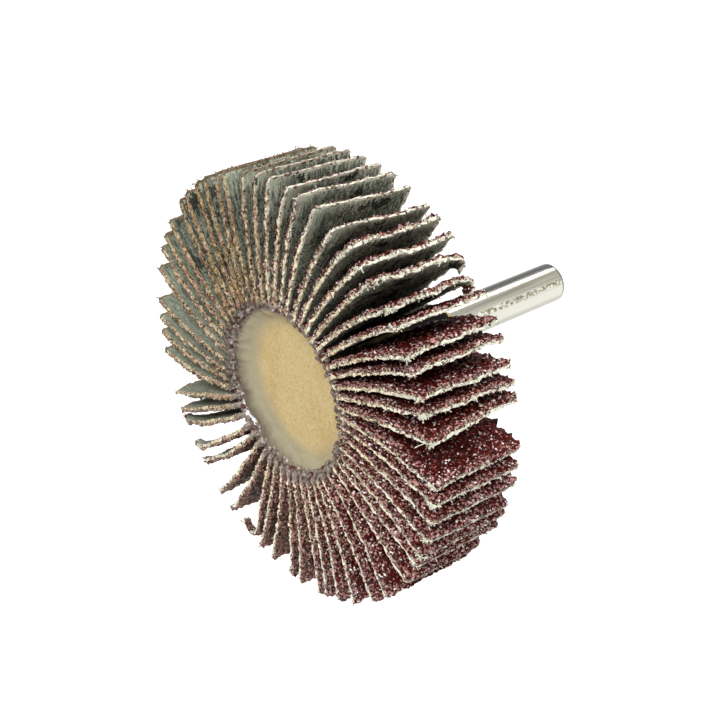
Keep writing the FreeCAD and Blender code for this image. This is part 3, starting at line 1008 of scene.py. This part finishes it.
def resin_material(sizes):
    """Cast resin: honey coloured in the disc and at the end of the boss, thin and full of dust between the
    roots. Painted shade darkens the disc towards its rim on the left and the boss under the flaps, and
    painted highlights lie on the ring.
    """
    material, board = new_material("cast resin")
    place = object_place(board)
    radius = axis_distance(board, place - tuple(part / MM for part in DISC_MIDDLE))
    cloud = board.noise(place, 0.32, 3.0)
    fleece = board.noise(place, 1.9, 3.0)
    fine = board.noise(place, 3.2, 3.0)
    speck = board.cells(place, 1.7).out("Color")
    small = board.cells(place, 3.0).out("Color")
    in_front = board.smooth(place.y, REAR / MM - 6, REAR / MM - 9)
    left = wheel_side(board, place, CREEP_ANGLE)
    low = sector(board, place, UNDER_SIDE)
    fade = radius + 1.6 * (cloud - 0.5) + 0.8 * (fleece - 0.5) + 4.6 * left
    thin = board.smooth(radius + 0.9 * (fleece - 0.5) + 0.414 * left, 11.0, 12.1) * in_front
    colour = board.layers(tuple(sizes.disc_colour), (
        (cloud, 0.4, 0.75, 0.5, RESIN_AMBER),
        (fleece, 0.45, 0.7, 0.45, RESIN_CREAM),
        (fine, 0.5, 0.68, 0.5, RESIN_FLECK),
        (fade, 9.4, 13.4, in_front, RESIN_FADED),
        (fade, 13.2, 16.2, in_front, RESIN_SHADED),
    ))
    colour = board.colour(thin, colour, board.colour(low, tuple(sizes.ring_colour), RING_LOW))
    # Painted highlights: white glints in the thin resin, more of them on the left, and a highlight along
    # the crest low on the left.
    crest = board.smooth(radius, 10.9, 11.3) * board.smooth(radius, 13.0, 12.6) * in_front
    colour = board.layers(colour, (
        (fleece, 0.42, 0.62, thin * (0.8 - 0.5 * low), RING_DARK),
        (speck.x, 0.6, 0.7, thin * 0.7, RING_RED),
        (speck.y, 0.6, 0.7, thin * 0.6, RING_GREY),
        (small.y + 0.08 * board.smooth(left, 0.7, 0.95), 0.95, 0.97, thin, RING_GLINT),
        (speck.z, 0.4, 0.44, crest * sector(board, place, PAINTED_HIGHLIGHT_SIDE), RING_PAINTED_HIGHLIGHT),
    ))
    on_boss = board.smooth(place.y, REAR / MM - 3, REAR / MM)
    # Painted shade: the boss is near black and matte where it runs under the flaps, and keeps its resin
    # colour at its end.
    boss_shade = board.smooth(place.y + 0.3 * (fleece - 0.5), -0.45, -0.6) * on_boss
    finish_material(board, {
        "Base Color": board.colour(boss_shade, colour, BOSS_PAINTED_SHADE),
        "Roughness": board.blend(boss_shade, board.blend(thin, 0.5, 0.2), 1.0),
        "IOR": 1.0,
        "Coat Weight": board.blend(thin, 0.12, 0.35) * (1 - 0.4 * boss_shade),
        "Coat Roughness": 0.08,
        "Normal": bump(board, fleece, 0.1 * MM, 0.25),
    })
    return material


def smooth_step(low, high, given):
    share = np.clip((given - low) / (high - low), 0, 1)
    return share * share * (3 - 2 * share)


def root_middles(radius):
    """The angle at which the middle of each flap's root crosses a circle."""
    middles = []
    for node in FLAPS:
        flap = read_flap(node)
        seat, along, across = (np.array(flap[key])[[0, 2]] for key in ("Seat", "Along", "Across"))
        middle = seat + across * flap["Thickness"] / 2 - along * (SEAT_RADIUS - radius)
        middles.append(math.atan2(middle[1], middle[0]))
    return np.array(middles)


def root_gap(angles, middles, radius):
    """How far each angle on a circle lies from the middle of the nearest flap, in metres."""
    turn = np.abs((angles[:, None] - middles[None, :] + math.pi) % math.tau - math.pi)
    return turn.min(axis=1) * radius


def soft_noise(points, scale):
    return np.array([noise.noise(Vector(point) * scale) for point in points])


def ring_of(angles, radius, height):
    """Points on a circle about Y."""
    height = np.broadcast_to(height, angles.shape)
    return np.stack((radius * np.cos(angles), height, radius * np.sin(angles)), axis=1)


def skin_rings(name, rings, more=((), ())):
    """A closed shell through rings of points from a pole in front to a pole behind, and loose shells.

    The faces of the loose shells take the second material.
    """
    columns = len(rings[0])
    points = [tuple(rings[0].mean(axis=0))]
    for ring in rings:
        points.extend(map(tuple, ring))
    points.append(tuple(rings[-1].mean(axis=0)))
    last = len(points) - 1
    faces = []
    for column in range(columns):
        beside = (column + 1) % columns
        faces.append((0, 1 + column, 1 + beside))
        for row in range(len(rings) - 1):
            near = 1 + row * columns
            far = near + columns
            faces.append((near + column, far + column, far + beside, near + beside))
        end = 1 + (len(rings) - 1) * columns
        faces.append((end + beside, end + column, last))
    first = len(faces)
    faces += [tuple(len(points) + corner for corner in face) for face in more[1]]
    mesh = bpy.data.meshes.new(name)
    mesh.from_pydata(points + list(more[0]), [], faces)
    mesh.shade_smooth()
    for face in mesh.polygons[first:]:
        face.material_index = 1
        face.use_smooth = False
    mesh.update()
    return mesh


def front_rings(sizes, angles):
    """The open face of the resin: a flat disc, a bowl wall, wider on the left, and creep on each root."""
    radii = np.concatenate((
        np.linspace(0.6, 7.2, 9),
        np.linspace(7.6, 12.8, 42),
        np.linspace(12.95, CORE_RADIUS / MM, 5),
    )) * MM
    gap = root_gap(angles, root_middles(ROOT_CIRCLE), ROOT_CIRCLE)
    between = smooth_step(0.3 * MM, 0.75 * MM, gap)
    leftward = 0.5 + 0.5 * np.cos(angles - BOWL_ANGLE)
    start = (10.6 - 2.6 * leftward) * MM
    end = (12.1 - 0.2 * leftward) * MM
    rings = []
    for radius in radii:
        flat = ring_of(angles, radius, FACE)
        reach = np.hypot(flat[:, 0] - DISC_MIDDLE[0], flat[:, 2] - DISC_MIDDLE[2])
        lumps = soft_noise(flat, 1100.0) * 0.3 * MM + soft_noise(flat, 420.0) * 0.24 * MM
        swing = soft_noise(flat, 300.0) * 0.5 * MM + soft_noise(flat, 800.0) * 0.3 * MM
        wall = smooth_step(start, end, reach + swing)
        apart = between * smooth_step(11.4 * MM, 12.3 * MM, reach)
        beside = sizes.creep_depth + apart * 0.95 * MM
        depth = sizes.disc_depth * (1 - wall) + beside * wall
        away = smooth_step(12.4 * MM, CORE_RADIUS, radius)
        depth = depth + away * (0.9 + 1.1 * between) * MM + lumps * wall
        rings.append(ring_of(angles, radius, FACE + np.maximum(depth, 0.1 * MM)))
    return rings


def rear_rings(angles):
    """The rear of the resin: the wall between the flaps, a flat annulus, a hollow shoulder and the boss."""
    rings = []
    foot = REAR - FOOT_DEPTH
    for step in np.linspace(0.15, 1.0, 6):
        rings.append(ring_of(angles, CORE_RADIUS, FACE + 3.0 * MM + (foot - FACE - 3.0 * MM) * step))
    for radius in np.linspace(13.2, 10.6, 5) * MM:
        rings.append(ring_of(angles, radius, foot))
    for step in np.linspace(0.0, 1.0, 8):
        weights = ((1 - step) ** 2, 2 * step * (1 - step), step ** 2)
        radius, height = (np.dot(weights, parts) for parts in zip(*SHOULDER))
        rings.append(ring_of(angles, radius * MM, REAR + height * MM))
    top, rise = SHOULDER[-1]
    for step in np.linspace(0.1, 1.0, 10):
        radius = top + (BOSS_RADIUS - top) * step
        rings.append(ring_of(angles, radius * MM, (REAR + rise * MM) * (1 - step)))
    for radius, height in BOSS_LIP:
        rings.append(ring_of(angles, radius * MM, height * MM))
    return rings


def covered_grain_material():
    """Grains of the root ends that the resin has covered: dark red, brown and grey, and glossy."""
    material, board = new_material("covered grain")
    place = object_place(board)
    tint = board.cells(place, 1.3).out("Color")
    colour = board.layers(COVERED_RED, (
        (tint.x, 0.3, 0.45, 1, COVERED_BROWN),
        (tint.y, 0.6, 0.75, 1, COVERED_GREY),
    ))
    finish_material(board, {
        "Base Color": colour,
        "Roughness": 0.18,
        "Specular IOR Level": 0.4,
        "Normal": bump(board, board.noise(place, 4.0, 2.0), 0.1 * MM, 0.6),
    })
    return material


def covered_grains(count, crest, dice):
    """Points and faces of lumpy grains half out of the crest of the resin, each a closed shell."""
    golden = (1 + math.sqrt(5)) / 2
    corners = [(-1, golden, 0), (1, golden, 0), (-1, -golden, 0), (1, -golden, 0)]
    ball = np.array([corner[turn:] + corner[:turn] for turn in (0, 2, 1) for corner in corners])
    ball = ball / math.hypot(1, golden)
    hull = (
        (0, 11, 5), (0, 5, 1), (0, 1, 7), (0, 7, 10), (0, 10, 11), (1, 5, 9), (5, 11, 4), (11, 10, 2),
        (10, 7, 6), (7, 1, 8), (3, 9, 4), (3, 4, 2), (3, 2, 6), (3, 6, 8), (3, 8, 9), (4, 9, 5),
        (2, 4, 11), (6, 2, 10), (8, 6, 7), (9, 8, 1),
    )
    places = [tuple(dice.uniform(*limits) for limits in GRAIN_LIMITS) for _ in range(count)]
    for middle in root_middles(11.4 * MM):
        rightward = 0.5 + 0.5 * math.cos(middle)
        for _ in range(round(3 * rightward)):
            inward = dice.uniform(0.0, 1.0) * rightward
            places.append((middle + dice.uniform(-0.03, 0.03), 12.0 - inward, dice.uniform(0.2, 0.5)))
    points = []
    faces = []
    for angle, out, half in places:
        radius = out * MM
        size = half * MM
        height = FACE + crest + dice.uniform(0.0, 0.5) * size
        middle = np.array((radius * math.cos(angle), height, radius * math.sin(angle)))
        lumpy = ball * dice.uniform(0.55, 1.45, 3) * dice.uniform(0.8, 1.2, (len(ball), 1))
        faces += [tuple(len(points) + corner for corner in face) for face in hull]
        points += [tuple(point) for point in np.array(DISC_MIDDLE) + middle + lumpy * size]
    return points, faces


class OBJECT_OT_resin_core(bpy.types.Operator):
    """Make the cast resin with its creep between the flap roots"""
    bl_idname = "object.resin_core"
    bl_label = "Resin Core"

    def execute(self, context):
        sizes = context.scene.flap_wheel.core
        angles = np.arange(sizes.columns) * math.tau / sizes.columns
        grains = covered_grains(sizes.covered_grains, sizes.creep_depth, np.random.default_rng(SEED))
        mesh = skin_rings("cast_core", front_rings(sizes, angles) + rear_rings(angles), grains)
        mesh.materials.append(resin_material(sizes))
        mesh.materials.append(covered_grain_material())
        piece = new_piece("cast_core", mesh)
        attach(piece, "root")
        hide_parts("resin_core")
        return {"FINISHED"}


def steel_material(sizes):
    """Steel polished lengthwise with drawn lines, and painted reflections: bands round it and a speckled
    line.
    """
    material, board = new_material("drawn steel")
    place = object_place(board)
    flat = board.add("ShaderNodeVectorMath", {"operation": "NORMALIZE"}, {0: place * (1.0, 0.0, 1.0)})
    lines = board.noise(board.vector(flat.x * 9.0, place.y * 0.06, flat.z * 9.0), 1.0, 4.0)
    spots = board.noise(place * (1.0, 0.6, 1.0), 2.9, 3.0)
    # Painted reflections in bands round the shank, by the angle from its upper side: dark at the top, a
    # khaki band with a paler line, a speckled line of painted glints, and pale below.
    over = 2 * wheel_side(board, place, SHANK_TOP_ANGLE) - 1 + 0.08 * (lines - 0.5)
    outside = board.smooth(axis_distance(board, place), 2.1, 2.3)
    khaki = board.smooth(over, -0.34, -0.2) * board.smooth(over, 0.5, 0.42)
    speckled_reflection = board.smooth(over, -0.36, -0.26) * board.smooth(over, 0.0, -0.1)
    steel = tuple(sizes.steel_colour)
    colour = board.layers(board.colour(khaki, steel, STEEL_PAINTED_REFLECTION), (
        (over, -0.1, -0.04, board.smooth(over, 0.08, 0.02) * 0.6, steel),
        (over, 0.58, 0.66, 1, STEEL_DARK),
        (over, -0.68, -0.94, 1, STEEL_LOW),
        (spots, 0.52, 0.6, speckled_reflection * 0.85, REFLECTED_SPECK_DARK),
        (spots, 0.5, 0.44, speckled_reflection * 0.9, REFLECTED_SPECK_BRIGHT),
    ))
    # Drawn lines, much stronger in the khaki band of painted reflection.
    streaks = board.smooth(lines, 0.46, 0.6) * board.blend(khaki, 0.03, 0.26)
    streaks = (streaks + 0.3 * board.smooth(over, 0.16, 0.34) * khaki) * outside
    neck = (SHANK_END - sizes.chamfer) / MM
    colour = board.layers(board.colour(streaks, colour, STEEL_STREAK), (
        (place.y, neck - 0.4, neck - 0.1, 0.85, STEEL_END),
    ))
    finish_material(board, {
        "Base Color": colour,
        "Metallic": 1.0,
        "Roughness": board.blend(lines, 0.14, 0.36),
        "Normal": bump(board, lines * outside, 0.02 * MM, 0.5),
    })
    return material


class OBJECT_OT_shank(bpy.types.Operator):
    """Make the round steel shank with its chamfered end"""
    bl_idname = "object.flap_wheel_shank"
    bl_label = "Shank"

    def execute(self, context):
        sizes = context.scene.flap_wheel.shank
        angles = np.arange(sizes.segments) * math.tau / sizes.segments
        neck = SHANK_END - sizes.chamfer
        soft = 0.12 * MM
        profile = [(0.5 * SHANK_RADIUS, -1.5 * MM), (SHANK_RADIUS, -1.5 * MM), (SHANK_RADIUS, -1.4 * MM)]
        profile += [(SHANK_RADIUS, height) for height in np.linspace(0.0, neck - soft, 16)]
        profile += [
            (SHANK_RADIUS - 0.02 * MM, neck),
            (SHANK_RADIUS - 0.5 * soft, neck + 0.5 * soft),
            (SHANK_RADIUS - sizes.chamfer + soft, SHANK_END - soft),
            (SHANK_RADIUS - sizes.chamfer, SHANK_END - 0.02 * MM),
            (SHANK_RADIUS - sizes.chamfer - soft, SHANK_END),
            (0.3 * SHANK_RADIUS, SHANK_END),
        ]
        mesh = skin_rings("steel_shank", [ring_of(angles, radius, height) for radius, height in profile])
        mesh.materials.append(steel_material(sizes))
        piece = new_piece("steel_shank", mesh)
        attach(piece, "root")
        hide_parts("shank")
        return {"FINISHED"}


WHITE = (1.0, 1.0, 1.0)
FLOOR_SHADE = (0.5, 0.5, 0.5)
FLOOR_GLOW = 0.62


def seen_directly(board):
    """1 for what the camera or a mirror sees, and 0 for the light that falls on things."""
    path = board.add("ShaderNodeLightPath")
    return board.math("MAXIMUM", path.out("Is Camera Ray"), path.out("Is Glossy Ray"))


def floor_material():
    """A white floor that keeps the object's shadow."""
    material, board = new_material("white floor")
    white = board.add("ShaderNodeBsdfDiffuse", {}, {"Color": FLOOR_SHADE})
    strength = seen_directly(board) * FLOOR_GLOW
    glow = board.add("ShaderNodeEmission", {}, {"Color": WHITE, "Strength": strength})
    surface = board.add("ShaderNodeAddShader", {}, {0: white, 1: glow})
    board.add("ShaderNodeOutputMaterial", {}, {"Surface": surface})
    return material


def light_world(strength):
    """Soft light from all sides; the camera and mirrors see white."""
    world = bpy.data.worlds.new("soft room")
    world.use_nodes = True
    world.node_tree.nodes.clear()
    board = Board(world.node_tree)
    light = board.add("ShaderNodeBackground", {}, {"Color": WHITE, "Strength": strength})
    white = board.add("ShaderNodeBackground", {}, {"Color": WHITE, "Strength": 1.0})
    both = board.add("ShaderNodeMixShader", {}, {0: seen_directly(board), 1: light, 2: white})
    board.add("ShaderNodeOutputWorld", {}, {"Surface": both})
    bpy.context.scene.world = world


def add_sun(name, towards, strength, spread):
    """A far lamp whose light comes from a direction; spread is how wide it looks, in degrees."""
    lamp = bpy.data.lights.new(name, "SUN")
    lamp.energy = strength
    lamp.angle = math.radians(spread)
    holder = new_piece(name, lamp)
    holder.rotation_euler = Vector(towards).to_track_quat("Z", "Y").to_euler()
    return holder


# Where a lamp stands, its strength as a share of the key light, and how wide it looks, in degrees.
LAMPS = (
    ("key", (0.35, -0.75, 1.0), 1.0, 35.0),
    ("glint", (0.8, 0.15, 1.0), 0.2, 4.0),
    ("low fill", (1.0, -0.45, -0.3), 0.4, 40.0),
    ("rear strip", (-0.31, 0.6, 0.74), 0.35, 16.0),
)
# The camera that took the photo, as fitted to the rims, the flap corners and the shank.
CAMERA_PLACE = (119.742 * MM, -114.071 * MM, 89.51 * MM)
CAMERA_RIGHT = (0.63886, 0.76932, 0.0)
CAMERA_UP = (-0.38451, 0.31931, 0.86614)
SENSOR_WIDTH = 36.0


def place_camera(lens):
    camera = bpy.data.cameras.new("camera")
    camera.lens = lens
    camera.sensor_width = SENSOR_WIDTH
    camera.clip_start = 0.01
    holder = new_piece("camera", camera)
    right = Vector(CAMERA_RIGHT).normalized()
    back = right.cross(Vector(CAMERA_UP)).normalized()
    turned = Matrix((right, back.cross(right), back)).transposed().to_4x4()
    holder.matrix_world = Matrix.Translation(Vector(CAMERA_PLACE)) @ turned
    bpy.context.scene.camera = holder


class OBJECT_OT_stage(bpy.types.Operator):
    """Make the white floor, the soft lights and the camera"""
    bl_idname = "object.flap_wheel_stage"
    bl_label = "Stage"

    def execute(self, context):
        sizes = context.scene.flap_wheel.stage
        half = sizes.floor_width / 2
        level = -sizes.floor_drop
        mesh = bpy.data.meshes.new("floor")
        mesh.from_pydata(
            [(-half, -half, level), (half, -half, level), (half, half, level), (-half, half, level)],
            [], [(0, 1, 2, 3)],
        )
        mesh.materials.append(floor_material())
        new_piece("floor", mesh)
        light_world(sizes.sky_light)
        for name, towards, share, spread in LAMPS:
            add_sun(name, towards, sizes.key_light * share, spread)
        place_camera(sizes.lens)
        context.scene.view_settings.view_transform = "Standard"
        return {"FINISHED"}


class VIEW3D_PT_flap_wheel(bpy.types.Panel):
    """Lists the pieces of the flap wheel"""
    bl_label = "Flap Wheel"
    bl_idname = "VIEW3D_PT_flap_wheel"
    bl_space_type = "VIEW_3D"
    bl_region_type = "UI"
    bl_category = "Flap Wheel"

    def draw(self, context):
        layout = self.layout
        settings = context.scene.flap_wheel
        groups = (
            (settings.flaps, OBJECT_OT_abrasive_flaps),
            (settings.core, OBJECT_OT_resin_core),
            (settings.shank, OBJECT_OT_shank),
            (settings.stage, OBJECT_OT_stage),
        )
        for sizes, operator in groups:
            box = layout.box()
            for name in sizes.__annotations__:
                box.prop(sizes, name)
            box.operator(operator.bl_idname)


CLASSES = (
    FlapSizes, CoreSizes, ShankSizes, StageSizes, FlapWheelSettings,
    OBJECT_OT_abrasive_flaps, OBJECT_OT_resin_core, OBJECT_OT_shank, OBJECT_OT_stage, VIEW3D_PT_flap_wheel,
)


def register():
    for one in CLASSES:
        bpy.utils.register_class(one)
    bpy.types.Scene.flap_wheel = bpy.props.PointerProperty(type=FlapWheelSettings)


def unregister():
    del bpy.types.Scene.flap_wheel
    for one in reversed(CLASSES):
        bpy.utils.unregister_class(one)


def main():
    register()
    bpy.ops.object.abrasive_flaps()
    bpy.ops.object.resin_core()
    bpy.ops.object.flap_wheel_shank()
    bpy.ops.object.flap_wheel_stage()


if __name__ == "__main__":
    main()
